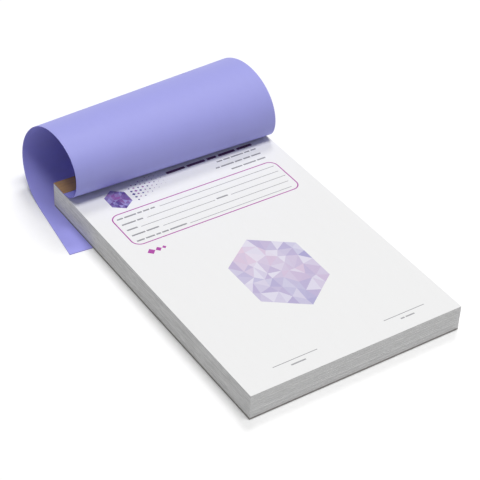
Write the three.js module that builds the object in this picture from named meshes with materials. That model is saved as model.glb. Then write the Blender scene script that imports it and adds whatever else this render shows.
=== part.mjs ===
// A prescription pad: tear-off leaves on a backing board, glued along one short edge (the head), with
// a kraft strip over the glued margin and a card cover that is flipped back over the head in a loose
// curl and tucked under the pad.
// Millimetres. X runs across the pad, Y towards the head, Z up. The origin lies on the table under the
// middle of the head edge.
import * as THREE from 'three';

// Sheets of the pad
const PAD_WIDTH = 140;
const PAD_LENGTH = 215;
const BOARD_THICKNESS = 0.9;
const LEAF_THICKNESS = 0.1;
const LEAVES_PER_BUNDLE = 5;
const BUNDLE_COUNT = 30;
const LOOSE_LEAVES = 3;
const SHEET_GAP = 0.01;
const TRIM_WANDER = 0.12; // how far a bundle's edges may stand back from the trimmed block

// Perforation of the leaves
const STUB_MARGIN = 0.5; // of the stubs that shows in front of the strip
const TIE_PITCH = 3.5;
const TIE_WIDTH = 1.4;
const TIE_LENGTH = 0.5;

// Binding at the head
const GLUE_THICKNESS = 0.25;
const STRIP_THICKNESS = 0.15;
const STRIP_WIDTH = 12.3; // over the page, from the head to the crease of the cover
const STRIP_FOOT_GAP = 0.1; // from the strip's lower end to the table side of the board
const BEND_STEPS = 6;

// Card cover
const CARD_THICKNESS = 0.4;
const CARD_CLEARANCE = 0.05; // between the tucked flap and the board
const SCORE_DEPTH = 0.12; // the crease is pressed in from both sides, half of this each
const SCORE_WIDTH = 0.8;
const TONGUE_GAP = 0.3; // from the cover's bound end to the head
const RISE_ANGLE = 10; // degrees, slope of the card as it leaves the crease
const FLAP_TUCK = 46.3; // how far the left corner of the flap lies inside the head line
const FLAP_END_ANGLE = 4.5; // degrees, the flap's end edge against the pad's foot
const CURL_STEP_ANGLE = 4; // degrees of turning between two rulings of the curl
const FLARE_RATIO = 2; // how much flatter the card runs out onto the table than it drops
const FRONT_RADIUS = 19; // of the front bend where the card stands upright
const LEFT_RISE = 3.5; // straight run of the card's left edge from the crease
const RIGHT_RISE = 10;
const LEFT_LANDING = 0.9; // behind the head, where the left edge comes down flat on the table
const RIGHT_LANDING = 13;

// Turning angles of the curl, in degrees: 0 runs forward over the page, 90 straight up, 180 back over
// the head, 270 down behind it and 360 forward again on the table
const FRONT_ANGLES = [RISE_ANGLE, 45, 90, 135]; // where the front bend's shares are given
const TO_TOP = [125, 180]; // the front bend opens into the wide top
const TO_REAR = [225, 270]; // the top draws in towards the back
const TO_LANDING = [255, 285]; // the back gives way to the landing
const RUN_OUT = [270, 360]; // the landing flattens out
const SWING = [90, 330]; // the card swings sideways

// The two ends of the curl
const LEFT_END = {
  side: -1,
  rise: LEFT_RISE,
  frontShares: [0.684, 0.921, 1, 0.842], // of the front radius, at the front angles
  rearShare: 0.54, // radius at the back of the curl as a share of the top radius
  planTurn: 6.7, // degrees by which the card swings sideways in plan
  landing: LEFT_LANDING,
};
const RIGHT_END = {
  side: 1,
  rise: RIGHT_RISE,
  frontShares: [0.263, 0.526, 1, 1.316],
  rearShare: 0.5,
  planTurn: 6,
  landing: RIGHT_LANDING,
};

// Colours of the sheets
const PAPER = new THREE.Color(0.93, 0.93, 0.93);
const GREYBOARD = new THREE.Color(0.45, 0.43, 0.41);
const KRAFT = new THREE.Color(0.45, 0.32, 0.19);
const GLUE = new THREE.Color(0.88, 0.86, 0.8);
const COVER_CARD = new THREE.Color(0.52, 0.52, 0.86);

// Levels, from the table up
const boardBottom = CARD_THICKNESS + CARD_CLEARANCE;
const bundleHeight = LEAF_THICKNESS * LEAVES_PER_BUNDLE;
const bundleLevel = (k) => boardBottom + BOARD_THICKNESS + SHEET_GAP + k * (bundleHeight + SHEET_GAP);
const looseLevel = (k) => bundleLevel(BUNDLE_COUNT) + k * (LEAF_THICKNESS + SHEET_GAP);
const pageTop = looseLevel(LOOSE_LEAVES - 1) + LEAF_THICKNESS;
const tongueBottom = pageTop + SHEET_GAP;
const stripBottom = tongueBottom + CARD_THICKNESS + SHEET_GAP;
const stubLength = STRIP_WIDTH + STUB_MARGIN; // from the head to the perforation

const pad = new THREE.Group();

function add(name, geometry, colour, roughness = 0.85) {
  const material = new THREE.MeshStandardMaterial({ color: colour, roughness, metalness: 0 });
  const mesh = new THREE.Mesh(geometry, material);
  mesh.name = name;
  pad.add(mesh);
}

// A flat sheet between two Y positions, standing back from the pad's long edges by the insets.
function sheet(foot, head, bottom, thickness, leftInset = 0, rightInset = 0) {
  const width = PAD_WIDTH - leftInset - rightInset;
  const geometry = new THREE.BoxGeometry(width, head - foot, thickness);
  return geometry.translate((leftInset - rightInset) / 2, (foot + head) / 2, bottom + thickness / 2);
}

// A fixed scatter between 0 and 1, the same each time, for the trimmed edges.
function scatter(n) {
  const value = Math.sin(n * 12.9898) * 43758.5453;
  return value - Math.floor(value);
}

// A leaf as it tears off: its head edge is the row of paper ties left between the perforation's cuts.
function perforatedLeaf(bottom) {
  const half = PAD_WIDTH / 2;
  const cutLine = -stubLength - TIE_LENGTH;
  const ties = Math.floor((PAD_WIDTH - TIE_WIDTH) / TIE_PITCH);
  const firstTie = ((ties - 1) * TIE_PITCH + TIE_WIDTH) / 2;
  const outline = new THREE.Shape();
  outline.moveTo(-half, -PAD_LENGTH);
  outline.lineTo(half, -PAD_LENGTH);
  outline.lineTo(half, cutLine);
  for (let k = 0; k < ties; k++) {
    const right = firstTie - k * TIE_PITCH;
    outline.lineTo(right, cutLine);
    outline.lineTo(right, -stubLength);
    outline.lineTo(right - TIE_WIDTH, -stubLength);
    outline.lineTo(right - TIE_WIDTH, cutLine);
  }
  outline.lineTo(-half, cutLine);
  const geometry = new THREE.ExtrudeGeometry(outline, { depth: LEAF_THICKNESS, bevelEnabled: false });
  return geometry.translate(0, 0, bottom);
}

// An outline in the YZ plane, carried across the pad's width.
function acrossPad(outline) {
  const geometry = new THREE.ExtrudeGeometry(outline, { depth: PAD_WIDTH, bevelEnabled: false });
  const turn = new THREE.Matrix4().set(0, 0, 1, -PAD_WIDTH / 2, 1, 0, 0, 0, 0, 1, 0, 0, 0, 0, 0, 1);
  return geometry.applyMatrix4(turn);
}

// The kraft strip lies over the glued margin and turns down over the glued head face.
function stripOutline() {
  const inside = GLUE_THICKNESS + 2 * SHEET_GAP;
  const outside = inside + STRIP_THICKNESS;
  const foot = boardBottom + STRIP_FOOT_GAP;
  const top = stripBottom + STRIP_THICKNESS;
  const outerRadius = STRIP_THICKNESS + SHEET_GAP;
  const outline = new THREE.Shape();
  outline.moveTo(-STRIP_WIDTH, stripBottom);
  outline.lineTo(inside, stripBottom);
  outline.lineTo(inside, foot);
  outline.lineTo(outside, foot);
  outline.lineTo(outside, top - outerRadius);
  for (let k = 1; k <= BEND_STEPS; k++) {
    const turn = (k / BEND_STEPS) * (Math.PI / 2);
    outline.lineTo(
      outside - outerRadius * (1 - Math.cos(turn)),
      top - outerRadius * (1 - Math.sin(turn)),
    );
  }
  outline.lineTo(-STRIP_WIDTH, top);
  outline.closePath();
  return outline;
}

const radians = (degrees) => (degrees * Math.PI) / 180;
const share = (angle, [from, to]) => Math.min(Math.max((angle - from) / (to - from), 0), 1);
const ease = (angle, span) => THREE.MathUtils.smoothstep(angle, ...span);

// Radius of the front bend at a turning angle, straight between its stations.
function frontRadius(shares, angle) {
  const last = FRONT_ANGLES.length - 1;
  if (angle >= FRONT_ANGLES[last]) return FRONT_RADIUS * shares[last];
  const k = FRONT_ANGLES.findIndex((station) => station > angle) - 1;
  const t = (angle - FRONT_ANGLES[k]) / (FRONT_ANGLES[k + 1] - FRONT_ANGLES[k]);
  return FRONT_RADIUS * (shares[k] + t * (shares[k + 1] - shares[k]));
}

// One end of the curl as a list of points. The card is followed by its turning angle, and its bend
// radius is a sum of three parts that take over from each other: the front bend, the wide top and the
// landing. The sizes of the top and of the landing are what brings the card down flat on the table, at
// the landing's distance behind the head.
function curlEnd(end) {
  const fine = 0.5; // degrees of turning in one step of the sum
  const count = Math.round((360 - RISE_ANGLE) / fine);
  const shares = [];
  for (let k = 0; k < count; k++) {
    const angle = RISE_ANGLE + (k + 0.5) * fine;
    const toTop = ease(angle, TO_TOP);
    const toLanding = ease(angle, TO_LANDING);
    const rear = 1 - (1 - end.rearShare) * ease(angle, TO_REAR);
    shares.push({
      turn: radians(angle),
      front: frontRadius(end.frontShares, angle) * (1 - toTop),
      top: rear * toTop * (1 - toLanding),
      landing: (1 + FLARE_RATIO * share(angle, RUN_OUT) ** 6) * toLanding,
      swing: ease(angle, SWING),
    });
  }
  const arc = radians(fine);
  const sum = (part, wave) => shares.reduce((total, s) => total + s[part] * wave(s.turn) * arc, 0);
  const rise = radians(RISE_ANGLE);
  const creaseLevel = tongueBottom + CARD_THICKNESS / 2;
  const drop = CARD_THICKNESS / 2 - creaseLevel - end.rise * Math.sin(rise) - sum('front', Math.sin);
  const back = end.landing + STRIP_WIDTH + end.rise * Math.cos(rise) + sum('front', Math.cos);
  const a = sum('top', Math.sin);
  const b = sum('landing', Math.sin);
  const c = -sum('top', Math.cos);
  const d = -sum('landing', Math.cos);
  const topRadius = (drop * d - back * b) / (a * d - b * c);
  const landingRadius = (a * back - c * drop) / (a * d - b * c);

  const point = new THREE.Vector3((end.side * PAD_WIDTH) / 2, -STRIP_WIDTH, creaseLevel);
  point.y -= end.rise * Math.cos(rise);
  point.z += end.rise * Math.sin(rise);
  const points = [point.clone()];
  const stride = Math.round(CURL_STEP_ANGLE / fine);
  shares.forEach((s, k) => {
    const length = (s.front + topRadius * s.top + landingRadius * s.landing) * arc;
    point.x -= Math.tan(radians(end.planTurn)) * s.swing * length;
    point.y -= Math.cos(s.turn) * length;
    point.z += Math.sin(s.turn) * length;
    if ((k + 1) % stride === 0 || k === count - 1) points.push(point.clone());
  });
  points.at(-1).z = CARD_THICKNESS / 2;
  return points;
}

// The cover is one sheet of card, ruled between its left and its right edge: bound tongue, crease,
// curl and tucked flap. Each station has the edge points, the heading in degrees and the thickness.
function coverStations() {
  const left = curlEnd(LEFT_END);
  const right = curlEnd(RIGHT_END);
  const half = PAD_WIDTH / 2;
  const level = tongueBottom + CARD_THICKNESS / 2;
  const crossing = (y, z) => [new THREE.Vector3(-half, y, z), new THREE.Vector3(half, y, z)];
  const stations = [];
  const put = ([l, r], heading, thickness = CARD_THICKNESS) => stations.push({ l, r, heading, thickness });
  put(crossing(-TONGUE_GAP, level), 0);
  put(crossing(-STRIP_WIDTH + SCORE_WIDTH / 2, level), 0);
  put(crossing(-STRIP_WIDTH, level), RISE_ANGLE / 2, CARD_THICKNESS - SCORE_DEPTH);
  const past = radians(RISE_ANGLE);
  const shoulder = crossing(
    -STRIP_WIDTH - (SCORE_WIDTH / 2) * Math.cos(past),
    level + (SCORE_WIDTH / 2) * Math.sin(past),
  );
  put(shoulder, RISE_ANGLE);
  left.forEach((l, k) => put([l, right[k]], Math.min(RISE_ANGLE + k * CURL_STEP_ANGLE, 360)));
  const landed = left.at(-1);
  const tail = landed.y + FLAP_TUCK;
  const cornerX = landed.x - Math.tan(radians(LEFT_END.planTurn)) * tail;
  const corner = new THREE.Vector3(cornerX, -FLAP_TUCK, landed.z);
  const turn = radians(FLAP_END_ANGLE);
  const across = new THREE.Vector3(Math.cos(turn), -Math.sin(turn), 0).multiplyScalar(PAD_WIDTH);
  put([corner, corner.clone().add(across)], 360);
  return stations;
}

function coverGeometry() {
  const stations = coverStations();
  const vertices = [];
  stations.forEach(({ l, r, heading, thickness }) => {
    const turn = radians(heading);
    const along = new THREE.Vector3(0, -Math.cos(turn), Math.sin(turn));
    const across = r.clone().sub(l).normalize();
    const normal = along.cross(across).normalize().multiplyScalar(thickness / 2);
    if (heading === 360) normal.set(0, 0, Math.sign(normal.z) * (thickness / 2));
    const outer = [l.clone().add(normal), r.clone().add(normal)];
    const inner = [r.clone().sub(normal), l.clone().sub(normal)];
    [...outer, ...inner].forEach((v) => vertices.push(v.x, v.y, v.z));
  });
  const faces = [];
  const corners = 4; // of the card's section at a station
  const quad = (a, b, c, d) => faces.push(a, c, b, a, d, c);
  for (let first = 0; first < (stations.length - 1) * corners; first += corners) {
    const after = first + corners;
    for (let side = 0; side < corners; side++) {
      const next = (side + 1) % corners;
      quad(first + side, first + next, after + next, after + side);
    }
  }
  const end = (stations.length - 1) * corners;
  quad(3, 2, 1, 0);
  quad(end, end + 1, end + 2, end + 3);
  const geometry = new THREE.BufferGeometry();
  geometry.setAttribute('position', new THREE.Float32BufferAttribute(vertices, 3));
  geometry.setIndex(faces);
  geometry.computeVertexNormals();
  return geometry;
}

add('back_board', sheet(-PAD_LENGTH, 0, boardBottom, BOARD_THICKNESS), GREYBOARD, 0.95);

for (let k = 0; k < BUNDLE_COUNT; k++) {
  const [left, right, foot] = [1, 2, 3].map((n) => scatter(k * 3 + n) * TRIM_WANDER);
  const name = `leaf_bundle_${String(k + 1).padStart(2, '0')}`;
  add(name, sheet(-PAD_LENGTH + foot, 0, bundleLevel(k), bundleHeight, left, right), PAPER);
}

for (let k = 0; k < LOOSE_LEAVES; k++) {
  const number = LOOSE_LEAVES - k;
  add(`top_leaf_${number}`, perforatedLeaf(looseLevel(k)), PAPER);
  add(`leaf_stub_${number}`, sheet(-stubLength + SHEET_GAP, 0, looseLevel(k), LEAF_THICKNESS), PAPER);
}

const glue = new THREE.BoxGeometry(PAD_WIDTH, GLUE_THICKNESS, pageTop - boardBottom);
glue.translate(0, SHEET_GAP + GLUE_THICKNESS / 2, (boardBottom + pageTop) / 2);
add('head_glue', glue, GLUE, 0.5);
add('head_strip', acrossPad(stripOutline()), KRAFT, 0.8);
add('cover', coverGeometry(), COVER_CARD, 0.6);

export default pad;
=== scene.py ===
"""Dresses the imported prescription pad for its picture.

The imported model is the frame. Here it gets printed leaves with streaked trimmed edges, a curled card
cover, a kraft head strip, a greyboard back and a plain white studio. Metres throughout. X runs across
the pad, Y towards the bound head, Z up.
"""

import math

import bpy
import numpy as np
from mathutils import Matrix, Vector


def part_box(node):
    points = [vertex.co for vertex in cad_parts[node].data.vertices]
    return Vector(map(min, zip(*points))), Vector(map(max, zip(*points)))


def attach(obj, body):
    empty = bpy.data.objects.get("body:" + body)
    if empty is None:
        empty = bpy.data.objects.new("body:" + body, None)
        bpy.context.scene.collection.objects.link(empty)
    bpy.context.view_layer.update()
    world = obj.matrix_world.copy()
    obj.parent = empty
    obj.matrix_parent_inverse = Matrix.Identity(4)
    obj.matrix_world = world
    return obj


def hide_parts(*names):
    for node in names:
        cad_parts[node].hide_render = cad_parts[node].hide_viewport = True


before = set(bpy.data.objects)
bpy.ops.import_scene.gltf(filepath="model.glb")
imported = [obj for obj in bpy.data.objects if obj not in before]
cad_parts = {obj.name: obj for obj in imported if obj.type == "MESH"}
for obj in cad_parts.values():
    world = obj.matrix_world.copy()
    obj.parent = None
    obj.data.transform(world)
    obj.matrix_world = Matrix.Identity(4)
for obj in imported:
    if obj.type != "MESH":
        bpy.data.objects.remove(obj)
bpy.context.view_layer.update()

bl_info = {
    "name": "Prescription pad",
    "version": (1, 0, 0),
    "blender": (4, 5, 0),
    "location": "View3D > Sidebar > Pad",
    "description": "Dresses a tear-off pad with printed leaves and a curled card cover",
    "category": "Object",
}

MM = 0.001
PAGE_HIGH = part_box("top_leaf_1")[1]
STRIP_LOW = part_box("head_strip")[0]
HALF_WIDTH = PAGE_HIGH.x
SHEET_GAP = 0.01 * MM
LEAVES = sorted(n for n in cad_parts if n.startswith(("top_leaf", "leaf_bundle", "leaf_stub")))
# The sheets that carry the print, with the body that each rides on
PRINTED = {"top_leaf_1": "leaf_1", "top_leaf_2": "leaf_2", "top_leaf_3": "leaf_3", "leaf_bundle_30": "pad"}


def length(name, description, default):
    """A size in metres, as a property."""
    return bpy.props.FloatProperty(
        name=name, description=description, default=default, subtype="DISTANCE", unit="LENGTH", precision=5
    )


def angle(name, description, degrees):
    """An angle, given here in degrees, as a property."""
    return bpy.props.FloatProperty(
        name=name, description=description, default=math.radians(degrees), subtype="ANGLE", unit="ROTATION"
    )


def share(name, description, default):
    """A plain number, as a property."""
    return bpy.props.FloatProperty(name=name, description=description, default=default, precision=4)


def colour(name, description, red, green, blue):
    """A colour property. Its values are written as they look on a screen, from 0 to 255."""
    return bpy.props.FloatVectorProperty(
        name=name,
        description=description,
        default=[screen_to_light(v / 255) for v in (red, green, blue)],
        subtype="COLOR",
        size=3,
        min=0,
        max=1,
    )


def screen_to_light(value):
    """The amount of light behind a screen value, by the sRGB curve."""
    return value / 12.92 if value <= 0.04045 else ((value + 0.055) / 1.055) ** 2.4


class PadCoverSizes(bpy.types.PropertyGroup):
    """The card cover: bound tongue, crease, curl and tucked flap."""

    thickness: length("Thickness", "Of the card", 0.4 * MM)
    tongue_gap: length("Tongue gap", "From the bound end to the head", 0.3 * MM)
    crease: length("Crease", "From the head to the crease, at the strip's front edge", -STRIP_LOW.y)
    score_depth: length("Score depth", "By which the crease thins the card", 0.12 * MM)
    score_width: length("Score width", "Over which the crease thins the card", 0.8 * MM)
    thinning: share("Thinning", "Of the card at the top of its curl, as a share", 0.15)
    rise_angle: angle("Rise angle", "Slope of the card as it leaves the crease", 10)
    front_radius: length("Front radius", "Of the front bend where the card stands upright", 19 * MM)
    left_rise: length("Left rise", "Straight run of the left edge from the crease", 3.5 * MM)
    right_rise: length("Right rise", "Straight run of the right edge from the crease", 10 * MM)
    left_landing: length("Left landing", "Behind the head, where the left edge lies flat", 0.9 * MM)
    right_landing: length("Right landing", "Behind the head, where the right edge lies flat", 13 * MM)
    left_turn: angle("Left plan turn", "By which the left edge swings sideways in plan", 6.7)
    right_turn: angle("Right plan turn", "By which the right edge swings sideways in plan", 6)
    left_rear: share("Left rear share", "Radius at the back as a share of the top radius", 0.54)
    right_rear: share("Right rear share", "Radius at the back as a share of the top radius", 0.5)
    flap_tuck: length("Flap tuck", "Of the flap's left corner under the pad", 46.3 * MM)
    flap_end: angle("Flap end", "Turn of the flap's end edge against the pad's foot", 4.5)


class PadPrintSizes(bpy.types.PropertyGroup):
    """The print on each leaf. Distances run from the leaf's left edge and from the head."""

    film: length("Film", "Thickness of the ink", 0.005 * MM)
    lift: length("Lift", "Of the ink over the paper", 0.002 * MM)
    frame_left: length("Frame left", "Left side of the frame", 12 * MM)
    frame_right: length("Frame right", "Right side of the frame", 127.8 * MM)
    frame_top: length("Frame top", "Upper side of the frame, from the head", 46.1 * MM)
    frame_foot: length("Frame foot", "Lower side of the frame, from the head", 77.5 * MM)
    frame_round: length("Frame round", "Corner radius of the frame", 5.5 * MM)
    frame_line: length("Frame line", "Width of the frame's line", 0.75 * MM)
    first_rule: length("First rule", "First writing rule, from the head", 51.15 * MM)
    rule_pitch: length("Rule pitch", "From one writing rule to the next", 5.8 * MM)
    rule_line: length("Rule line", "Width of a writing rule", 0.5 * MM)
    bar_height: length("Bar height", "Of the plain grey bars", 1.2 * MM)
    sign_rule: length("Signing rule", "Both signing rules, from the head", 202.7 * MM)
    large_motif: length("Large motif", "Half height of the pale motif in the middle of the leaf", 29 * MM)
    small_motif: length("Small motif", "Half height of the strong motif at the head", 8.6 * MM)


class PadColours(bpy.types.PropertyGroup):
    """Finishes of the pad."""

    paper: colour("Paper", "Writing paper", 240, 240, 240)
    paper_edge: colour("Paper edge", "Trimmed edges of the leaves", 230, 230, 230)
    board: colour("Board", "Greyboard back", 152, 149, 146)
    kraft: colour("Kraft", "Head strip", 192, 152, 103)
    glue: colour("Glue", "Dried padding glue", 226, 220, 204)
    card: colour("Card", "Outer face of the cover", 163, 164, 232)
    # Inner face: the card's own colour made paler and bluer as painted light, brightening the shaded inside
    # of the curl and the flap
    card_inside_painted_light: colour("Card inside", "Inner face of the cover", 170, 169, 245)
    # Cut edges: partly the card's own colour, partly painted shade, darkened for the shadow line along the
    # flap's edges
    card_core_with_painted_shade: colour("Card core", "Cut edges of the cover", 120, 112, 206)
    line_ink: colour("Line ink", "Frame and diamonds", 172, 62, 160)
    rule_ink: colour("Rule ink", "Writing rules", 160, 160, 163)
    bar_ink: colour("Bar ink", "Plain bars beside the rules", 146, 146, 150)
    head_ink: colour("Head ink", "Bold bars at the head", 92, 44, 92)


class PadStudio(bpy.types.PropertyGroup):
    """Camera, lamps and floor."""

    camera_place: bpy.props.FloatVectorProperty(
        name="Camera place",
        description="Where the camera stands",
        default=(-0.415779, -0.695614, 0.580309),
        subtype="TRANSLATION",
        unit="LENGTH",
    )
    camera_turn: angle("Camera turn", "Of the camera's view from the leaves' direction", 34.8304)
    camera_dip: angle("Camera dip", "Of the camera's view below the horizon", 37.9534)
    camera_roll: angle("Camera roll", "About the line of sight", 2.7098)
    lens: share("Lens", "Focal length in millimetres on a 36 mm sensor", 118.67)
    right_strength: share("Right strength", "Of the lamp in front on the right", 0.31)
    right_turn: angle("Right turn", "Of that lamp from straight behind the head, to the right", 140)
    left_strength: share("Left strength", "Of the lamp in front on the left", 0.285)
    left_turn: angle("Left turn", "Of that lamp from straight behind the head, to the right", -145)
    front_height: angle("Front height", "Of these two lamps above the horizon", 76)
    back_strength: share("Back strength", "Of the lamp behind the head", 0.25)
    back_turn: angle("Back turn", "Of that lamp from straight behind the head, to the right", 45)
    back_height: angle("Back height", "Of that lamp above the horizon", 62)
    lamp_spread: angle("Lamp spread", "Apparent size of the lamps, which softens their shadows", 16)
    fill: share("Fill", "Light from all round", 0.21)
    floor_size: length("Floor size", "Width of the floor", 12)
    floor_bounce: share("Floor bounce", "Brightness of the floor for the light on the pad", 0.8)
    floor_white: share("Floor white", "Brightness of the floor as it is seen", 0.98)
    floor_glow: share("Floor glow", "Light added to the floor as it is seen", 0.05)


def place(tree, kind, inputs=None, **settings):
    """A new shader node. An input, named or numbered, takes a value or another node's output."""
    made = tree.nodes.new(kind)
    for name, value in settings.items():
        setattr(made, name, value)
    for name, value in (inputs or {}).items():
        if isinstance(value, bpy.types.NodeSocket):
            tree.links.new(value, made.inputs[name])
        else:
            made.inputs[name].default_value = value
    return made


def calculate(tree, operation, first, second=0.0, third=0.0, clamp=False):
    """Output of a Math node."""
    inputs = {0: first, 1: second, 2: third}
    return place(tree, "ShaderNodeMath", inputs, operation=operation, use_clamp=clamp).outputs[0]


def blend_colours(tree, factor, first, second, mode="MIX"):
    """Output of a Mix node for colours."""
    inputs = {"Factor": factor, 6: first, 7: second}
    return place(tree, "ShaderNodeMix", inputs, data_type="RGBA", blend_type=mode).outputs[2]


def spread(tree, value, low, high, new_low=0.0, new_high=1.0):
    """A value moved from one range to another, and kept in it."""
    inputs = {"Value": value, "From Min": low, "From Max": high, "To Min": new_low, "To Max": new_high}
    return place(tree, "ShaderNodeMapRange", inputs).outputs[0]


def noise(tree, vector, scale=1.0, detail=2.0, roughness=0.5):
    """Output of a Noise texture, around 0.5."""
    inputs = {"Vector": vector, "Scale": scale, "Detail": detail, "Roughness": roughness}
    return place(tree, "ShaderNodeTexNoise", inputs).outputs["Fac"]


def opaque(rgb):
    """A colour with full cover, as sockets want it."""
    return (*rgb, 1)


def shaded(tree, rgb, shade):
    """A plain colour times a shade that changes over the surface."""
    return blend_colours(tree, 1.0, opaque(rgb), shade, "MULTIPLY")


def new_group(name, inputs, outputs):
    """An empty node group with named sockets, given as (name, kind, default) and (name, kind)."""
    group = bpy.data.node_groups.new(name, "ShaderNodeTree")
    for socket_name, kind, default in inputs:
        socket = group.interface.new_socket(socket_name, in_out="INPUT", socket_type="NodeSocket" + kind)
        if default is not None:
            socket.default_value = default
    for socket_name, kind in outputs:
        group.interface.new_socket(socket_name, in_out="OUTPUT", socket_type="NodeSocket" + kind)
    return group, group.nodes.new("NodeGroupInput"), group.nodes.new("NodeGroupOutput")


def fibre_group():
    """Paper fibres: a fine grain, longer along the sheet's own direction, on a cloudy formation.

    Length and Width are those of a fibre. Tone is around 0.5, and Height is for a bump.
    """
    group, given, result = new_group(
        "fibres",
        [("Vector", "Vector", None), ("Length", "Float", 1.0 * MM), ("Width", "Float", 0.2 * MM)],
        [("Tone", "Float"), ("Height", "Float")],
    )
    width = given.outputs["Width"]
    size = place(group, "ShaderNodeCombineXYZ", {0: width, 1: given.outputs["Length"], 2: width}).outputs[0]
    inputs = {0: given.outputs["Vector"], 1: size}
    fitted = place(group, "ShaderNodeVectorMath", inputs, operation="DIVIDE").outputs[0]
    grain = noise(group, fitted, detail=4.0, roughness=0.62)
    cloud = noise(group, fitted, scale=0.08, detail=3.0)
    tone = blend_colours(group, 0.45, grain, cloud)
    group.links.new(tone, result.inputs["Tone"])
    group.links.new(grain, result.inputs["Height"])
    return group


# Layers of the streaks, down to single sheets: shares of the given length and height
STREAK_LAYERS = ((1.0, 1.0), (0.22, 0.62), (0.5, 0.13))
FINEST_STREAKS = 0.18  # share of the finest layer in the tone
STREAK_WAVE = 3 * MM  # by which the streaks rise and fall along the block
END_CALM = 0.5  # by which the streaks are fainter on the foot and head faces


def streak_group():
    """Streaks along the trimmed edges of stacked sheets.

    The pattern is stretched along the sheets and squeezed in Z, in three layers down to single sheets.
    Along is Y plus X times Shortening, so the streaks on the foot and head faces are shorter by that.
    Mask is 1 on upright faces, Tone is around 0.5, and Height is for a bump.
    """
    group, given, result = new_group(
        "edge_streaks",
        [
            ("Vector", "Vector", None),
            ("Length", "Float", 25 * MM),
            ("Shortening", "Float", 3.0),
            ("Height", "Float", 0.7 * MM),
        ],
        [("Tone", "Float"), ("Mask", "Float"), ("Height", "Float")],
    )
    part = place(group, "ShaderNodeSeparateXYZ", {0: given.outputs["Vector"]}).outputs
    along = calculate(group, "MULTIPLY_ADD", part[0], given.outputs["Shortening"], third=part[1])
    wave = place(
        group, "ShaderNodeTexNoise", {"W": along, "Scale": 30.0, "Detail": 1.0}, noise_dimensions="1D"
    ).outputs["Fac"]
    level = calculate(group, "ADD", part[2], calculate(group, "MULTIPLY", wave, STREAK_WAVE))
    tones = []
    for length_share, height_share in STREAK_LAYERS:
        streak_length = calculate(group, "MULTIPLY", given.outputs["Length"], length_share)
        streak_height = calculate(group, "MULTIPLY", given.outputs["Height"], height_share)
        run = calculate(group, "DIVIDE", along, streak_length)
        rise = calculate(group, "DIVIDE", level, streak_height)
        spot = place(group, "ShaderNodeCombineXYZ", {0: run, 1: rise}).outputs[0]
        tones.append(noise(group, spot, roughness=0.6))
    tone = blend_colours(group, FINEST_STREAKS, blend_colours(group, 0.5, *tones[:2]), tones[2])
    normal = place(group, "ShaderNodeNewGeometry").outputs["Normal"]
    facing = place(group, "ShaderNodeSeparateXYZ", {0: normal}).outputs
    upright = calculate(group, "SUBTRACT", 1.0, calculate(group, "ABSOLUTE", facing[2]), clamp=True)
    endwise = calculate(group, "MULTIPLY", calculate(group, "ABSOLUTE", facing[1]), END_CALM)
    tone = blend_colours(group, endwise, tone, (0.5, 0.5, 0.5, 1))
    group.links.new(tone, result.inputs["Tone"])
    group.links.new(upright, result.inputs["Mask"])
    ridge = calculate(group, "MULTIPLY_ADD", tones[2], 0.6, third=tones[1])
    group.links.new(ridge, result.inputs["Height"])
    return group


def new_material(name):
    """A material with its node tree and its Principled shader."""
    material = bpy.data.materials.new(name)
    material.use_nodes = True
    tree = material.node_tree
    shader = next(n for n in tree.nodes if n.type == "BSDF_PRINCIPLED")
    return material, tree, shader


def object_place(tree):
    """The place on the object, for a pattern that stays with it."""
    return place(tree, "ShaderNodeTexCoord").outputs["Object"]


def effect(tree, name, inputs):
    """Outputs of a shared effect placed in a material with its own values."""
    return place(tree, "ShaderNodeGroup", inputs, node_tree=bpy.data.node_groups[name]).outputs


def emboss(tree, shader, height, distance, strength=1.0):
    """A bump on the shader's normal."""
    inputs = {"Height": height, "Distance": distance, "Strength": strength}
    tree.links.new(place(tree, "ShaderNodeBump", inputs).outputs[0], shader.inputs["Normal"])


def paper_material(colours):
    """Matt writing paper, with the streaks of a guillotined block on its trimmed edges."""
    material, tree, shader = new_material("writing_paper")
    spot = object_place(tree)
    fibres = effect(tree, "fibres", {"Vector": spot, "Length": 1.2 * MM, "Width": 0.25 * MM})
    cut = {"Vector": spot, "Length": 24 * MM, "Shortening": 3.2, "Height": 1.3 * MM}
    streaks = effect(tree, "edge_streaks", cut)
    face_shade = spread(tree, fibres["Tone"], 0.3, 0.7, 0.985, 1.0)
    edge_shade = spread(tree, streaks["Tone"], 0.4, 0.6, 0.74, 1.0)
    face = shaded(tree, colours.paper, face_shade)
    edge = shaded(tree, colours.paper_edge, edge_shade)
    tree.links.new(blend_colours(tree, streaks["Mask"], face, edge), shader.inputs["Base Color"])
    tree.links.new(spread(tree, fibres["Height"], 0.3, 0.7, 0.78, 0.9), shader.inputs["Roughness"])
    shader.inputs["Specular IOR Level"].default_value = 0.25
    ridges = calculate(tree, "MULTIPLY", streaks["Height"], streaks["Mask"])
    emboss(tree, shader, calculate(tree, "ADD", fibres["Height"], ridges), 0.02 * MM, 0.6)
    return material


def board_material(colours):
    """Greyboard: recycled grey stock with dark and pale flecks."""
    material, tree, shader = new_material("greyboard")
    spot = object_place(tree)
    fibres = effect(tree, "fibres", {"Vector": spot, "Length": 1.6 * MM, "Width": 0.5 * MM})
    fleck = place(tree, "ShaderNodeTexVoronoi", {"Vector": spot, "Scale": 900.0}).outputs["Distance"]
    pulp = spread(tree, fibres["Tone"], 0.3, 0.7, 0.82, 1.08)
    flecked = calculate(tree, "MULTIPLY", pulp, spread(tree, fleck, 0.05, 0.3, 0.7, 1.0))
    tree.links.new(shaded(tree, colours.board, flecked), shader.inputs["Base Color"])
    shader.inputs["Roughness"].default_value = 0.95
    emboss(tree, shader, fibres["Height"], 0.05 * MM)
    return material


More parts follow.
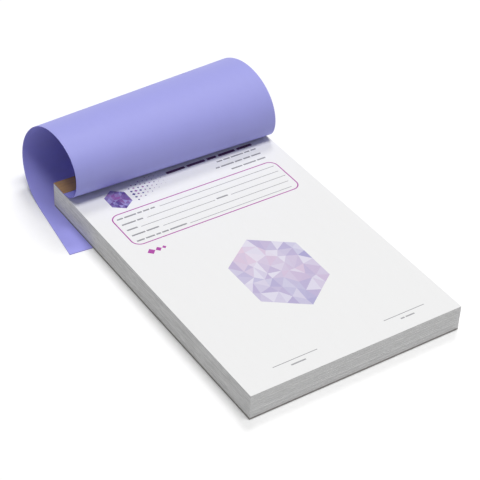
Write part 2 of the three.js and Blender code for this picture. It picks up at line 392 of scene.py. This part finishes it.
def kraft_material(colours):
    """Brown kraft paper with its long fibres across the pad and fine ribs from the machine's felt."""
    material, tree, shader = new_material("kraft_paper")
    spot = object_place(tree)
    turned = place(tree, "ShaderNodeMapping", {"Vector": spot, "Rotation": (0, 0, math.pi / 2)}).outputs[0]
    fibres = effect(tree, "fibres", {"Vector": turned, "Length": 3.5 * MM, "Width": 0.3 * MM})
    inputs = {"Vector": spot, "Scale": 120.0, "Distortion": 1.5, "Detail": 2.0}
    rib = place(tree, "ShaderNodeTexWave", inputs, bands_direction="Y").outputs["Fac"]
    shade = spread(tree, fibres["Tone"], 0.3, 0.7, 0.78, 1.12)
    ribbed = calculate(tree, "MULTIPLY", shade, spread(tree, rib, 0.0, 1.0, 0.94, 1.0))
    tree.links.new(shaded(tree, colours.kraft, ribbed), shader.inputs["Base Color"])
    tree.links.new(spread(tree, fibres["Height"], 0.3, 0.7, 0.62, 0.8), shader.inputs["Roughness"])
    emboss(tree, shader, calculate(tree, "ADD", fibres["Height"], rib), 0.03 * MM)
    return material


def glue_material(colours):
    """Dried padding glue, brushed across the head in soft ridges."""
    material, tree, shader = new_material("padding_glue")
    spot = object_place(tree)
    brushed = place(tree, "ShaderNodeMapping", {"Vector": spot, "Scale": (60, 400, 900)}).outputs[0]
    ridge = noise(tree, brushed, detail=3.0)
    shade = spread(tree, ridge, 0.3, 0.7, 0.9, 1.0)
    tree.links.new(shaded(tree, colours.glue, shade), shader.inputs["Base Color"])
    tree.links.new(spread(tree, ridge, 0.3, 0.7, 0.32, 0.5), shader.inputs["Roughness"])
    emboss(tree, shader, ridge, 0.08 * MM)
    return material


def card_material(name, rgb):
    """A face of the smooth coloured card: a faint cloudiness, a fine grain and a soft satin."""
    material, tree, shader = new_material(name)
    sheet = place(tree, "ShaderNodeUVMap", uv_map="sheet").outputs[0]
    fibres = effect(tree, "fibres", {"Vector": sheet, "Length": 0.9 * MM, "Width": 0.3 * MM})
    cloud = noise(tree, sheet, scale=70.0, detail=3.0)
    grained = spread(tree, fibres["Tone"], 0.3, 0.7, 0.975, 1.0)
    shade = calculate(tree, "MULTIPLY", grained, spread(tree, cloud, 0.3, 0.7, 0.985, 1.0))
    tree.links.new(shaded(tree, rgb, shade), shader.inputs["Base Color"])
    tree.links.new(spread(tree, cloud, 0.3, 0.7, 0.46, 0.54), shader.inputs["Roughness"])
    shader.inputs["Specular IOR Level"].default_value = 0.3
    emboss(tree, shader, fibres["Height"], 0.012 * MM, 0.5)
    return material


def core_material(colours):
    """The card's cut edge, rough from the knife: the card's colour made deeper as painted shade, which
    draws the dark line of shade along the flap's edges.
    """
    material, tree, shader = new_material("card_cut_edge_with_painted_shade")
    spot = object_place(tree)
    fibres = effect(tree, "fibres", {"Vector": spot, "Length": 0.5 * MM, "Width": 0.15 * MM})
    shade = spread(tree, fibres["Tone"], 0.3, 0.7, 0.85, 1.0)
    tree.links.new(shaded(tree, colours.card_core_with_painted_shade, shade), shader.inputs["Base Color"])
    shader.inputs["Roughness"].default_value = 0.9
    emboss(tree, shader, fibres["Height"], 0.02 * MM)
    return material


PAPER_THROUGH_INK = (0.86, 0.86, 0.86, 1)


def ink_material():
    """Offset ink: each shape's own colour, thinned a little where the paper's grain stands up."""
    material, tree, shader = new_material("offset_ink")
    spot = object_place(tree)
    ink = place(tree, "ShaderNodeAttribute", attribute_name="ink").outputs["Color"]
    fibres = effect(tree, "fibres", {"Vector": spot, "Length": 0.6 * MM, "Width": 0.2 * MM})
    bare = spread(tree, fibres["Height"], 0.5, 0.8, 0.0, 0.22)
    tree.links.new(blend_colours(tree, bare, ink, PAPER_THROUGH_INK), shader.inputs["Base Color"])
    tree.links.new(spread(tree, bare, 0.0, 0.2, 0.5, 0.75), shader.inputs["Roughness"])
    shader.inputs["Specular IOR Level"].default_value = 0.25
    return material


def new_piece(name, vertices, faces, body, materials):
    """A mesh object at the origin that rides on a CAD body."""
    mesh = bpy.data.meshes.new(name)
    mesh.from_pydata(vertices, [], faces)
    for material in materials:
        mesh.materials.append(material)
    mesh.update()
    piece = bpy.data.objects.new(name, mesh)
    bpy.context.scene.collection.objects.link(piece)
    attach(piece, body)
    return piece


def smooth(angles, start, end):
    """0 before start, 1 after end, and 3t² - 2t³ between them."""
    t = np.clip((angles - start) / (end - start), 0, 1)
    return t * t * (3 - 2 * t)


# Turning angles of the card, in degrees: 0 runs forward over the page, 90 straight up, 180 back over
# the head, 270 down behind it and 360 forward again on the table
FRONT_ANGLES = (10, 45, 90, 135)
LEFT_FRONT = (0.684, 0.921, 1, 0.842)  # shares of the front radius at the front angles
RIGHT_FRONT = (0.263, 0.526, 1, 1.316)
TO_TOP = (125, 180)
TO_REAR = (225, 270)
TO_LANDING = (255, 285)
RUN_OUT = (270, 360)
SWING = (90, 330)
FLARE_RATIO = 2
TURN_STEP = 0.5

# Steps of the cover's grid: either side of the crease, along the flap and across the card
SCORE_STEPS = 8
FLAP_STEPS = 12
COVER_COLUMNS = 25
SHARPEST_BEND = 35  # degrees, above which an edge of the card is shaded sharp


def curl_edge(size, side, rise, front_shares, rear_share, plan_turn, landing):
    """One side edge of the curl, as points, from the end of its straight rise to the table.

    The card is followed by its turning angle a. Its bend radius is front(a) * (1 - to_top)
    + T * rear(a) * to_top * (1 - to_landing) + L * (1 + flare * run_out^6) * to_landing, where front(a)
    runs straight between its stations. A step of turning da goes radius * da along (-cos a, sin a) in Y
    and Z, and -tan(plan turn) * swing(a) times that in X. T and L are the two radii that bring the card
    down flat on the table at its landing.
    """
    start = math.degrees(size.rise_angle)
    degrees = np.arange(start + TURN_STEP / 2, 360, TURN_STEP)
    turn, arc = np.radians(degrees), math.radians(TURN_STEP)
    to_top, to_landing = smooth(degrees, *TO_TOP), smooth(degrees, *TO_LANDING)
    run_out = np.clip((degrees - RUN_OUT[0]) / (RUN_OUT[1] - RUN_OUT[0]), 0, 1)
    front = size.front_radius * np.interp(degrees, FRONT_ANGLES, front_shares) * (1 - to_top)
    top = (1 - (1 - rear_share) * smooth(degrees, *TO_REAR)) * to_top * (1 - to_landing)
    landed = (1 + FLARE_RATIO * run_out**6) * to_landing

    waves = np.array([np.sin(turn), -np.cos(turn)]) * arc
    begin = np.array([math.sin(size.rise_angle), -math.cos(size.rise_angle)]) * rise
    level = PAGE_HIGH.z + SHEET_GAP + size.thickness / 2
    goal = np.array([size.thickness / 2 - level, landing + size.crease]) - begin - waves @ front
    top_radius, landing_radius = np.linalg.solve(waves @ np.array([top, landed]).T, goal)

    step = (front + top_radius * top + landing_radius * landed) * arc
    steps = np.stack([-math.tan(plan_turn) * smooth(degrees, *SWING), -np.cos(turn), np.sin(turn)], axis=1)
    first = np.array([side * HALF_WIDTH, begin[1] - size.crease, level + begin[0]])
    points = np.vstack([first, first + np.cumsum(steps * step[:, None], axis=0)])
    points[-1, 2] = size.thickness / 2
    return points


def cover_edges(size):
    """Left and right side edges of the whole card, station by station, and the card's thickness there.

    The crease is a groove: the card is thinner by depth * exp(-(3 s / width)^2) at a distance s from it.
    Along the curl it is thinner by thinning * sin^2(a / 2) of itself, a being its turning angle.
    """
    level = PAGE_HIGH.z + SHEET_GAP + size.thickness / 2
    groove = np.linspace(-1, 0, SCORE_STEPS + 1)[:-1] * size.score_width
    before = np.array([size.tongue_gap - size.crease, *groove])
    tongue = np.stack([-size.crease - before, np.full(before.shape, level)], axis=1)
    past = np.linspace(0, 1, SCORE_STEPS + 1) * size.score_width
    slope = np.array([-math.cos(size.rise_angle), math.sin(size.rise_angle)])
    shoulder = np.array([-size.crease, level]) + past[:, None] * slope
    bound = np.vstack([tongue, shoulder])
    distance = np.concatenate([before, past])
    left_form = (size.left_rise, LEFT_FRONT, size.left_rear, size.left_turn, size.left_landing)
    right_form = (size.right_rise, RIGHT_FRONT, size.right_rear, size.right_turn, size.right_landing)
    left, right = curl_edge(size, -1, *left_form), curl_edge(size, 1, *right_form)
    tail = left[-1, 1] + size.flap_tuck
    corner = np.array([left[-1, 0] - math.tan(size.left_turn) * tail, -size.flap_tuck, left[-1, 2]])
    across = np.array([math.cos(size.flap_end), -math.sin(size.flap_end), 0]) * 2 * HALF_WIDTH
    run = np.linspace(0, 1, FLAP_STEPS + 1)[1:, None]
    left_end = left[-1] + run * (corner - left[-1])
    right_end = right[-1] + run * (corner + across - right[-1])
    sides = []
    for side, curl, end in ((-1, left, left_end), (1, right, right_end)):
        start = np.insert(bound, 0, side * HALF_WIDTH, axis=1)
        sides.append(np.vstack([start, curl[::2], end]))
    thickness = np.full(len(sides[0]), size.thickness)
    thickness[: len(distance)] -= size.score_depth * np.exp(-((3 * distance / size.score_width) ** 2))
    turn = np.linspace(size.rise_angle, 2 * math.pi, len(left))[::2]
    thickness[len(distance) : -len(run)] *= 1 - size.thinning * np.sin(turn / 2) ** 2
    return sides[0], sides[1], thickness


def shell_faces(rows, columns):
    """Faces of a closed thin sheet on a grid, and the side of each: 0 outer, 1 inner, 2 cut edge.

    Vertex r * columns + c is on the outer face, and rows * columns more on the inner one.
    """
    grid = np.arange(rows * columns).reshape(rows, columns)
    quads = np.stack([grid[:-1, :-1], grid[:-1, 1:], grid[1:, 1:], grid[1:, :-1]], axis=-1).reshape(-1, 4)
    under = quads[:, ::-1] + rows * columns
    rim = np.concatenate([grid[0, :-1], grid[:-1, -1], grid[-1, :0:-1], grid[:0:-1, 0]])
    after = np.roll(rim, -1)
    walls = np.stack([rim, rim + rows * columns, after + rows * columns, after], axis=1)
    faces = np.vstack([quads, under, walls])
    return faces, np.repeat([0, 1, 2], [len(quads), len(under), len(walls)])


def build_cover(size, materials):
    """The cover: a sheet ruled straight across between its side edges, thickened along its normals."""
    left, right, thickness = cover_edges(size)
    across = np.linspace(0, 1, COVER_COLUMNS)[None, :, None]
    middle = left[:, None] * (1 - across) + right[:, None] * across
    normal = np.cross(np.gradient(middle, axis=1), np.gradient(middle, axis=0))
    normal /= np.linalg.norm(normal, axis=2, keepdims=True)
    offset = normal * thickness[:, None, None] / 2
    faces, side = shell_faces(len(left), COVER_COLUMNS)
    vertices = np.concatenate([(middle + offset).reshape(-1, 3), (middle - offset).reshape(-1, 3)])
    piece = new_piece("card_cover", vertices, faces.tolist(), "pad", materials)
    mesh = piece.data
    mesh.polygons.foreach_set("material_index", side.astype(np.int32))
    mesh.shade_smooth()
    mesh.set_sharp_from_angle(angle=math.radians(SHARPEST_BEND))
    walked = np.linalg.norm(np.diff(middle.mean(axis=1), axis=0), axis=1)
    along = np.concatenate([[0], np.cumsum(walked)])
    sheet = np.stack(np.broadcast_arrays(across[0, :, 0][None] * 2 * HALF_WIDTH, along[:, None]), axis=2)
    lay_out(mesh, np.tile(sheet.reshape(-1, 2), (2, 1)))
    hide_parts("cover")


def lay_out(mesh, flat):
    """A UV map named sheet that gives each vertex its place on the flat card, in metres."""
    corner_vertex = np.zeros(len(mesh.loops), np.int32)
    mesh.loops.foreach_get("vertex_index", corner_vertex)
    mesh.uv_layers.new(name="sheet").data.foreach_set("uv", flat[corner_vertex].astype(np.float32).ravel())


LEAST_ROUNDING = 0.001 * MM
FRAME_CORNER_STEPS = 14


def bar(left, right, low, high, rounding=LEAST_ROUNDING, steps=4):
    """A bar with rounded corners, as points and one face. Each corner is a quarter circle in steps."""
    radius = max(rounding, LEAST_ROUNDING)
    turn = np.linspace(0, math.pi / 2, steps + 1)
    turns = np.concatenate([turn + k * math.pi / 2 for k in range(4)])
    centre_x = np.repeat([right - radius, left + radius, left + radius, right - radius], steps + 1)
    centre_y = np.repeat([high - radius, high - radius, low + radius, low + radius], steps + 1)
    points = np.stack([centre_x + radius * np.cos(turns), centre_y + radius * np.sin(turns)], axis=1)
    return points, np.arange(len(points))[None]


def outline_bar(left, right, low, high, rounding, line):
    """A rounded frame of that line width: an outer and an inner loop with a band of faces between them."""
    half = line / 2
    steps = FRAME_CORNER_STEPS
    outer, _ = bar(left - half, right + half, low - half, high + half, rounding + half, steps)
    inner, _ = bar(left + half, right - half, low + half, high - half, rounding - half, steps)
    count = len(outer)
    here = np.arange(count)
    after = np.roll(here, -1)
    return np.vstack([outer, inner]), np.stack([here, after, after + count, here + count], axis=1)


def diamond(centre, half):
    """A diamond on its corner, as points and one face. Half is from its centre to each corner."""
    return np.array([(1, 0), (0, 1), (-1, 0), (0, -1)]) * half + centre, np.arange(4)[None]


def scatter(values):
    """A fixed scatter between 0 and 1 for each value."""
    mixed = np.sin(values * 12.9898) * 43758.5453
    return mixed - np.floor(mixed)


GEM_NUDGE = 0.72  # play of a facet's corner, in steps of the lattice
GEM_BREADTH = 0.93
GEM_HEIGHT = 1.16


def facets(centre, radius, rings):
    """A faceted gem: the points of a triangular lattice in a hexagon, turned to stand on its corner.

    A lattice point (q, r) lies at q + r / 2 up and r * sqrt(3) / 2 across, times the height and the
    breadth. A point inside is moved by up to half the nudge either way, and one on the rim stays, so
    the outline is a plain hexagon. Each point is a corner of the triangles (q, r), (q, r + 1),
    (q + 1, r) and (q, r), (q - 1, r + 1), (q, r + 1), of which those within the hexagon are kept.
    """
    reach = np.arange(-rings, rings + 1)
    q, r = (a.ravel() for a in np.meshgrid(reach, reach))
    inside = np.abs(q + r) <= rings
    q, r = q[inside], r[inside]
    ring = np.maximum(np.maximum(np.abs(q), np.abs(r)), np.abs(q + r))
    seeds = np.stack([q * 7 + r * 13 + 5, q * 17 + r * 3 + 11])
    nudge = GEM_NUDGE * (scatter(seeds) - 0.5) * (ring < rings)
    up, across = q + r / 2 + nudge[0], r * math.sqrt(3) / 2 + nudge[1]
    points = np.stack([across * GEM_BREADTH, up * GEM_HEIGHT], axis=1) * radius / rings + centre

    number = np.full((2 * rings + 3, 2 * rings + 3), -1)  # of each lattice point, with a margin of none
    q, r = q + rings + 1, r + rings + 1
    number[q, r] = np.arange(len(points))
    here, above, beside, behind = number[q, r], number[q, r + 1], number[q + 1, r], number[q - 1, r + 1]
    faces = np.stack([here, above, beside, here, behind, above], axis=1).reshape(-1, 3)
    return points, faces[(faces >= 0).all(axis=1)]


def facet_tints(points, faces, centre, radius, cool, warm, pale):
    """Tints of a gem's facets: waves of cool and warm across it, and some facets paler.

    At x across and y up, in radii, warmth is 0.4 + 0.32 sin(3.1 x + 2.2 y + 0.6) - 0.3 x, up to 0.2
    more or less by the scatter. Paleness is 0.9 times the square of another scatter.
    """
    middle = (points[faces].mean(axis=1) - centre) / radius
    wave = 0.4 + 0.32 * np.sin(3.1 * middle[:, 0] + 2.2 * middle[:, 1] + 0.6) - 0.3 * middle[:, 0]
    warmth = np.clip(wave + 0.4 * (scatter(np.arange(len(faces)) * 2.3) - 0.5), 0, 1)[:, None]
    paleness = 0.9 * scatter(np.arange(len(faces)) * 1.7 + 3)[:, None] ** 2
    tint = np.array(cool) * (1 - warmth) + np.array(warm) * warmth
    return tint * (1 - paleness) + np.array(pale) * paleness


def film(shapes, low, high):
    """Flat shapes as one closed film between two levels, with the ink's colour of each face.

    A shape is (points, faces, tints). Its walls stand on its rim, the edges a to b of its faces that
    no face has as b to a.
    """
    vertices, made, inks, first = [], [], [], 0
    for points, faces, tints in shapes:
        count, sides = len(points), faces.shape[1]
        tints = np.broadcast_to(tints, (len(faces), 3))
        start, end = np.roll(faces, 1, axis=1).ravel(), faces.ravel()
        rim = ~np.isin(start * count + end, end * count + start)
        start, end = start[rim], end[rim]
        walls = np.stack([start, start + count, end + count, end], axis=1)
        for ring in (faces, faces[:, ::-1] + count, walls):
            made += (ring + first).tolist()
        inks += [tints, tints, np.repeat(tints, sides, axis=0)[rim]]
        vertices += [np.insert(points, 2, level, axis=1) for level in (high, low)]
        first += 2 * count
    return np.vstack(vertices), made, np.vstack(inks)


# Where the print lies on a leaf, in millimetres from its left edge
RULES = ((43.4, 125.3), (31.5, 124.7), (24.1, 75.2), (35.5, 124.2), (50.6, 122.7))
SECOND_RULE = (86.5, 126)  # a second one in the third row
BAR_RUNS = ((14.8, 40.5), (14.8, 29), (14.8, 22), (14.8, 33), (14.8, 48.5))
SECOND_BARS = (76.5, 84.5)
# Rows of bars at the head: middle, left, right, height
HEAD_RUNS = ((24.6, 64, 126.2, 2.2), (30, 97, 126, 1.2), (35.4, 93, 126, 1.2), (40.8, 101, 126, 1.2))
SIGN_RULES = ((21.9, 50.6), (95.2, 123.2))
SIGN_BAR = 9.5  # length of the run of bars under the middle of a signing rule
SIGN_DROP = 3.8
SIGN_SHARE = 0.8  # of the bar height
# A bar's shortest and longest length, the gap to the next and its rounding, in its own heights
SHORTEST_BAR = 2.5
LONGEST_BAR = 8
BAR_GAP = 0.7
BAR_ROUNDING = 0.3
DIAMONDS = ((17.2, 2.6), (22, 2), (25.7, 1.4))  # in a row: middle and half height
DIAMOND_ROW = 86
SMALL_MOTIF_CENTRE = (25.5, 33.2)
LARGE_MOTIF_CENTRE = (70, 138)
# Screen colours of the motifs' facets: cool, warm and pale
LARGE_TINTS = ((166, 161, 204), (222, 200, 219), (226, 223, 236))
SMALL_TINTS = ((58, 42, 128), (156, 92, 164), (160, 156, 212))
# The trail of diamonds beside the small motif, in millimetres
TRAIL_START = 1.25  # from the motif's middle, in its half heights
TRAIL_COLUMNS = 11
TRAIL_STEP = 2.8
TRAIL_RISE = 0.8  # of a column over the last one
TRAIL_STAGGER = 1.54  # by which every second column stands higher
TRAIL_ROWS = 2  # above and below the middle one
TRAIL_ROW_STEP = 3.08
TRAIL_ROW_LOSS = 0.2  # by which a row's diamonds are smaller than those of the row within
TRAIL_DOT = 1.15  # half height of the largest diamond


def run_of_bars(left, right, low, height, ink):
    """A run of plain rounded bars, each between the shortest and the longest by a fixed scatter.

    The last one ends at the right, and is never shorter than the shortest.
    """
    shapes, here = [], left
    while here < right:
        draw = scatter(here * 3e3 + low * 7e3)
        end = here + height * (SHORTEST_BAR + (LONGEST_BAR - SHORTEST_BAR) * draw)
        if right - end < height * (SHORTEST_BAR + BAR_GAP):
            end = right
        shapes.append((*bar(here, end, low, low + height, height * BAR_ROUNDING), ink))
        here = end + height * BAR_GAP
    return shapes


def bar_shapes(sizes, colours):
    """Runs of plain bars before the rules, under the signing rules and at the head, and three diamonds."""
    shapes = []
    for row, (left, right) in enumerate(BAR_RUNS):
        low = -(sizes.first_rule + row * sizes.rule_pitch)
        shapes += run_of_bars(left * MM, right * MM, low, sizes.bar_height, colours.bar_ink)
    low = -(sizes.first_rule + 2 * sizes.rule_pitch)
    left, right = SECOND_BARS
    shapes += run_of_bars(left * MM, right * MM, low, sizes.bar_height, colours.bar_ink)
    for left, right in SIGN_RULES:
        start, low = ((left + right) / 2 - SIGN_BAR / 2) * MM, -sizes.sign_rule - SIGN_DROP * MM
        height = sizes.bar_height * SIGN_SHARE
        shapes += run_of_bars(start, start + SIGN_BAR * MM, low, height, colours.rule_ink)
    for row, (down, left, right, height) in enumerate(HEAD_RUNS):
        ink = colours.bar_ink if row else colours.head_ink
        shapes += run_of_bars(left * MM, right * MM, -(down + height / 2) * MM, height * MM, ink)
    for across, half in DIAMONDS:
        centre = np.array([across, -DIAMOND_ROW]) * MM
        shapes.append((*diamond(centre, half * MM), colours.line_ink))
    return shapes


def rule_shapes(sizes, colours):
    """The rounded frame, the writing rules in it and the two signing rules."""
    frame_line = outline_bar(
        sizes.frame_left,
        sizes.frame_right,
        -sizes.frame_foot,
        -sizes.frame_top,
        sizes.frame_round,
        sizes.frame_line,
    )
    shapes = [(*frame_line, colours.line_ink)]
    rows = [(left, right, sizes.first_rule + k * sizes.rule_pitch) for k, (left, right) in enumerate(RULES)]
    rows.append((*SECOND_RULE, sizes.first_rule + 2 * sizes.rule_pitch))
    rows += [(left, right, sizes.sign_rule) for left, right in SIGN_RULES]
    half = sizes.rule_line / 2
    for left, right, down in rows:
        shapes.append((*bar(left * MM, right * MM, -down - half, -down + half), colours.rule_ink))
    return shapes


def motif_shapes(sizes):
    """A large pale faceted gem in the middle of the leaf, and a small strong one at the head.

    A trail of diamonds runs from the small one. They shrink along it, and from its middle row outwards.
    """
    shapes = []
    for centre, radius, rings, tints in (
        (LARGE_MOTIF_CENTRE, sizes.large_motif, 4, LARGE_TINTS),
        (SMALL_MOTIF_CENTRE, sizes.small_motif, 3, SMALL_TINTS),
    ):
        middle = np.array([centre[0], -centre[1]]) * MM
        points, faces = facets(middle, radius, rings)
        light = [[screen_to_light(v / 255) for v in tint] for tint in tints]
        shapes.append((points, faces, facet_tints(points, faces, middle, radius, *light)))
    for column in range(TRAIL_COLUMNS):
        fade = 1 - column / TRAIL_COLUMNS
        for row in range(-TRAIL_ROWS, TRAIL_ROWS + 1):
            across = sizes.small_motif * TRAIL_START + column * TRAIL_STEP * MM
            up = (row * TRAIL_ROW_STEP + column * TRAIL_RISE + column % 2 * TRAIL_STAGGER) * MM
            half = TRAIL_DOT * MM * fade * (1 - TRAIL_ROW_LOSS * abs(row))
            shapes.append((*diamond(middle + np.array([across, up]), half), light[column % 2]))
    return shapes


def print_leaf(node, body, shapes, sizes, material):
    """The print of one leaf: a film of ink just over the paper."""
    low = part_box(node)[1].z + sizes.lift
    vertices, faces, inks = film(shapes, low, low + sizes.film)
    vertices[:, 0] -= HALF_WIDTH
    piece = new_piece(f"print_on_{node}", vertices, faces, body, [material])
    corners = [len(f) for f in faces]
    rgba = np.insert(np.repeat(inks, corners, axis=0), 3, 1, axis=1)
    layer = piece.data.color_attributes.new("ink", "FLOAT_COLOR", "CORNER")
    layer.data.foreach_set("color", rgba.astype(np.float32).ravel())


def dress(nodes, material):
    """Gives CAD nodes their finish."""
    for name in nodes:
        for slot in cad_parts[name].material_slots:
            slot.material = material


FLOOR_GAP = 0.02 * MM  # from the floor to the lowest face of the pad, so that they never share a plane


class PadSetStage(bpy.types.Operator):
    """Set up the white floor, the lamps, the world and the camera"""

    bl_idname = "pad.set_stage"
    bl_label = "Set the stage"

    def execute(self, context):
        studio = context.scene.pad_studio
        self.lay_floor(studio)
        self.light(context.scene, studio)
        self.aim(context.scene, studio)
        context.scene.view_settings.view_transform = "Standard"
        return {"FINISHED"}

    def seen(self, tree):
        """1 for rays that see the stage itself or its mirror image, and 0 for its light on the pad."""
        ray = place(tree, "ShaderNodeLightPath").outputs
        direct = calculate(tree, "MAXIMUM", ray["Is Camera Ray"], ray["Is Glossy Ray"])
        return calculate(tree, "MAXIMUM", direct, ray["Is Transmission Ray"])

    def lay_floor(self, studio):
        """A pale floor that shows as white and keeps the pad's shadow."""
        half = studio.floor_size / 2
        mesh = bpy.data.meshes.new("floor")
        corners = [(-half, -half, 0), (half, -half, 0), (half, half, 0), (-half, half, 0)]
        mesh.from_pydata(corners, [], [(0, 1, 2, 3)])
        floor = bpy.data.objects.new("floor", mesh)
        floor.location.z = -FLOOR_GAP
        bpy.context.scene.collection.objects.link(floor)
        material, tree, shader = new_material("floor_white")
        seen = self.seen(tree)
        white = spread(tree, seen, 0.0, 1.0, studio.floor_bounce, studio.floor_white)
        grain = noise(tree, object_place(tree), scale=300.0)
        grained = calculate(tree, "MULTIPLY", white, spread(tree, grain, 0.3, 0.7, 0.99, 1.0))
        tree.links.new(grained, shader.inputs["Base Color"])
        shader.inputs["Roughness"].default_value = 1.0
        shader.inputs["Specular IOR Level"].default_value = 0.0
        shader.inputs["Emission Color"].default_value = (1, 1, 1, 1)
        glow = calculate(tree, "MULTIPLY", seen, studio.floor_glow)
        tree.links.new(glow, shader.inputs["Emission Strength"])
        mesh.materials.append(material)

    def light(self, scene, studio):
        """Two lamps high in front of the pad, a lower one behind its head, and an even light all round."""
        lamps = (
            ("right", studio.right_strength, studio.right_turn, studio.front_height),
            ("left", studio.left_strength, studio.left_turn, studio.front_height),
            ("back", studio.back_strength, studio.back_turn, studio.back_height),
        )
        for name, strength, turn, height in lamps:
            lamp = bpy.data.lights.new(name, "SUN")
            lamp.energy = strength * math.pi
            lamp.angle = studio.lamp_spread
            towards = Vector((math.sin(turn), math.cos(turn), math.tan(height)))
            made = bpy.data.objects.new(name, lamp)
            made.rotation_euler = towards.to_track_quat("Z", "Y").to_euler()
            scene.collection.objects.link(made)
        world = bpy.data.worlds.new("studio")
        world.use_nodes = True
        scene.world = world
        tree = world.node_tree
        back = next(n for n in tree.nodes if n.type == "BACKGROUND")
        back.inputs["Color"].default_value = (1, 1, 1, 1)
        strength = spread(tree, self.seen(tree), 0.0, 1.0, studio.fill, 1.0)
        tree.links.new(strength, back.inputs["Strength"])

    def aim(self, scene, studio):
        """The camera, by its turn from the leaves' direction, its dip and its roll."""
        turn, dip, roll = studio.camera_turn, studio.camera_dip, studio.camera_roll
        forward = Vector((math.sin(turn) * math.cos(dip), math.cos(turn) * math.cos(dip), -math.sin(dip)))
        level = forward.cross(Vector((0, 0, 1))).normalized()
        upright = level.cross(forward)
        right = math.cos(roll) * level + math.sin(roll) * upright
        up = math.cos(roll) * upright - math.sin(roll) * level
        lens = bpy.data.cameras.new("camera")
        lens.lens = studio.lens
        lens.sensor_width = 36
        lens.clip_start = 0.05
        lens.clip_end = 50
        camera = bpy.data.objects.new("camera", lens)
        axes = Matrix((right, up, -forward)).transposed()
        camera.matrix_world = Matrix.LocRotScale(Vector(studio.camera_place), axes.to_quaternion(), None)
        scene.collection.objects.link(camera)
        scene.camera = camera


class PadDressLeaves(bpy.types.Operator):
    """Give all leaves, stubs and bundles their paper"""

    bl_idname = "pad.dress_leaves"
    bl_label = "Dress the leaves"

    def execute(self, context):
        dress(LEAVES, paper_material(context.scene.pad_colours))
        return {"FINISHED"}


class PadDressBinding(bpy.types.Operator):
    """Give the back board, the head glue and the head strip their finishes"""

    bl_idname = "pad.dress_binding"
    bl_label = "Dress the binding"

    def execute(self, context):
        colours = context.scene.pad_colours
        dress(["back_board"], board_material(colours))
        dress(["head_glue"], glue_material(colours))
        dress(["head_strip"], kraft_material(colours))
        return {"FINISHED"}


class PadPrintLeaves(bpy.types.Operator):
    """Print the frame, the rules, the bars and the motifs on each leaf that can show"""

    bl_idname = "pad.print_leaves"
    bl_label = "Print the leaves"

    def execute(self, context):
        sizes, colours = context.scene.pad_print, context.scene.pad_colours
        shapes = rule_shapes(sizes, colours) + bar_shapes(sizes, colours) + motif_shapes(sizes)
        material = ink_material()
        for node, body in PRINTED.items():
            print_leaf(node, body, shapes, sizes, material)
        return {"FINISHED"}


class PadBuildCover(bpy.types.Operator):
    """Build the curled card cover"""

    bl_idname = "pad.build_cover"
    bl_label = "Build the cover"

    def execute(self, context):
        colours = context.scene.pad_colours
        materials = [
            card_material("card_outer_face", colours.card),
            # the inner face's colour carries painted light for the shaded inside of the curl
            card_material("card_inner_face_painted_light", colours.card_inside_painted_light),
            core_material(colours),
        ]
        build_cover(context.scene.pad_cover, materials)
        return {"FINISHED"}


class PadPanel(bpy.types.Panel):
    """The pad's pieces and their sizes"""

    bl_idname = "VIEW3D_PT_prescription_pad"
    bl_label = "Prescription pad"
    bl_space_type = "VIEW_3D"
    bl_region_type = "UI"
    bl_category = "Pad"

    def draw(self, context):
        for name in SETTINGS:
            settings = getattr(context.scene, name)
            box = self.layout.box()
            for prop in type(settings).__annotations__:
                box.prop(settings, prop)
        for step in STEPS:
            self.layout.operator(step.bl_idname)


STEPS = (PadSetStage, PadDressLeaves, PadDressBinding, PadPrintLeaves, PadBuildCover)
SETTINGS = {
    "pad_cover": PadCoverSizes,
    "pad_print": PadPrintSizes,
    "pad_colours": PadColours,
    "pad_studio": PadStudio,
}


def register():
    for kind in (*SETTINGS.values(), *STEPS, PadPanel):
        bpy.utils.register_class(kind)
    for name, kind in SETTINGS.items():
        setattr(bpy.types.Scene, name, bpy.props.PointerProperty(type=kind))


def unregister():
    for name in SETTINGS:
        delattr(bpy.types.Scene, name)
    for kind in (PadPanel, *STEPS, *SETTINGS.values()):
        bpy.utils.unregister_class(kind)


def main():
    register()
    fibre_group()
    streak_group()
    bpy.ops.pad.set_stage()
    bpy.ops.pad.dress_leaves()
    bpy.ops.pad.dress_binding()
    bpy.ops.pad.print_leaves()
    bpy.ops.pad.build_cover()


if __name__ == "__main__":
    main()
